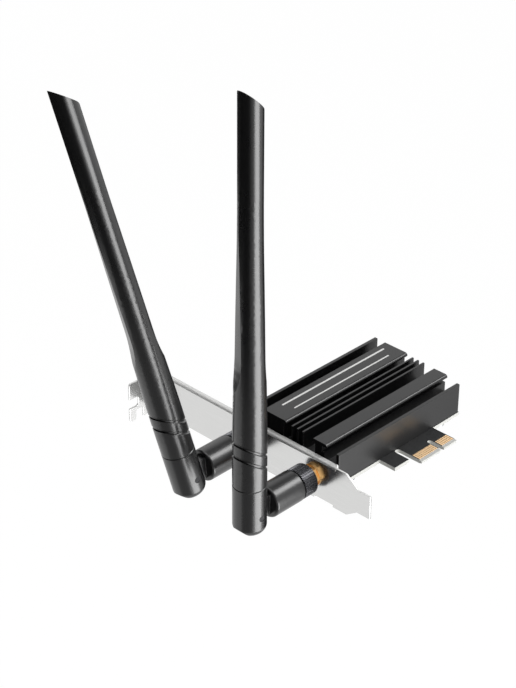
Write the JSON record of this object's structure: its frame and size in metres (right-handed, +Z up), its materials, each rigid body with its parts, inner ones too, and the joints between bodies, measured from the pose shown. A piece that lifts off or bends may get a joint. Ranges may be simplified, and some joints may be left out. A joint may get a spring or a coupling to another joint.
{
  "type": "wireless network card",
  "caption": "Expansion card with a finned black heat sink, slotted steel bracket, short gold edge connector and tall hinged antennas on knurled swivel plugs.",
  "frame": {"origin": "middle of the edge connector's tip, on the centre of its key notch and the board's mid-plane", "axes": "+X along the card away from the bracket, +Y out of the slot towards the bracket's row of ports, +Z up from the component side"},
  "size_m": [0.1494, 0.1217, 0.1843],
  "materials": {
    "board_mask": "black solder mask over glass-fibre laminate",
    "contact_gold": "gold plate",
    "black_aluminium": "black anodised, satin",
    "screw_steel": "zinc plate",
    "bracket_steel": "nickel plate, satin",
    "module_board": "green solder mask",
    "black_housing": "moulded, matt",
    "plain_brass": "turned",
    "shield_steel": "tin plate",
    "pad_silicone": "soft, matt",
    "jack_gold": "gold plate, turned",
    "lead_jacket": "smooth jacket",
    "white_insulator": "fluoropolymer",
    "nut_black": "black plate, knurled",
    "antenna_plastic": "satin moulded",
    "pin_steel": "blackened",
    "strip_board": "laminate with copper"
  },
  "bodies": {
    "card": {"circuit_board": "board_mask", "edge_contacts": "contact_gold", "heat_sink": "black_aluminium", "heat_sink_screws": "screw_steel", "bracket": "bracket_steel", "wireless_module": "module_board", "module_socket": "black_housing", "module_standoff": "plain_brass", "module_screw": "screw_steel", "radio_chip": "black_housing", "radio_shield": "shield_steel", "thermal_pad": "pad_silicone", "coax_receptacles": "contact_gold", "jack_nuts": "jack_gold", "jack_washers": "jack_gold", "coax_lead_1": "lead_jacket", "jack_body_1": "jack_gold", "jack_insulator_1": "white_insulator", "jack_pin_1": "contact_gold", "plug_core_1": "plain_brass", "coax_lead_2": "lead_jacket", "jack_body_2": "jack_gold", "jack_insulator_2": "white_insulator", "jack_pin_2": "contact_gold", "plug_core_2": "plain_brass"},
    "nut_1": {"coupling_nut_1": "nut_black"},
    "elbow_1": {"barrel_1": "antenna_plastic"},
    "antenna_1": {"antenna_base_1": "antenna_plastic", "antenna_sleeve_1": "antenna_plastic", "hinge_pin_1": "pin_steel", "radiator_1": "strip_board"},
    "nut_2": {"coupling_nut_2": "nut_black"},
    "elbow_2": {"barrel_2": "antenna_plastic"},
    "antenna_2": {"antenna_base_2": "antenna_plastic", "antenna_sleeve_2": "antenna_plastic", "hinge_pin_2": "pin_steel", "radiator_2": "strip_board"}
  },
  "joints": [
    {"name": "nut_1_spin", "type": "hinge", "parent": "card", "child": "nut_1", "pos_m": [-0.05, 0.0579, 0.00128], "axis": [1, 0, 0], "continuous": true},
    {"name": "elbow_1_swivel", "type": "hinge", "parent": "card", "child": "elbow_1", "pos_m": [-0.05, 0.0579, 0.00128], "axis": [1, 0, 0], "range_deg": [-172.8, 7.2]},
    {"name": "antenna_1_fold", "type": "hinge", "parent": "elbow_1", "child": "antenna_1", "pos_m": [-0.0842, 0.0579, 0.00128], "axis": [0, 0.9921, -0.1253], "range_deg": [-78, 12]},
    {"name": "nut_2_spin", "type": "hinge", "parent": "card", "child": "nut_2", "pos_m": [-0.05, 0.0236, 0.00128], "axis": [1, 0, 0], "continuous": true},
    {"name": "elbow_2_swivel", "type": "hinge", "parent": "card", "child": "elbow_2", "pos_m": [-0.05, 0.0236, 0.00128], "axis": [1, 0, 0], "range_deg": [0, 180]},
    {"name": "antenna_2_fold", "type": "hinge", "parent": "elbow_2", "child": "antenna_2", "pos_m": [-0.0842, 0.0236, 0.00128], "axis": [0, 1, 0], "range_deg": [-90, 0]}
  ]
}
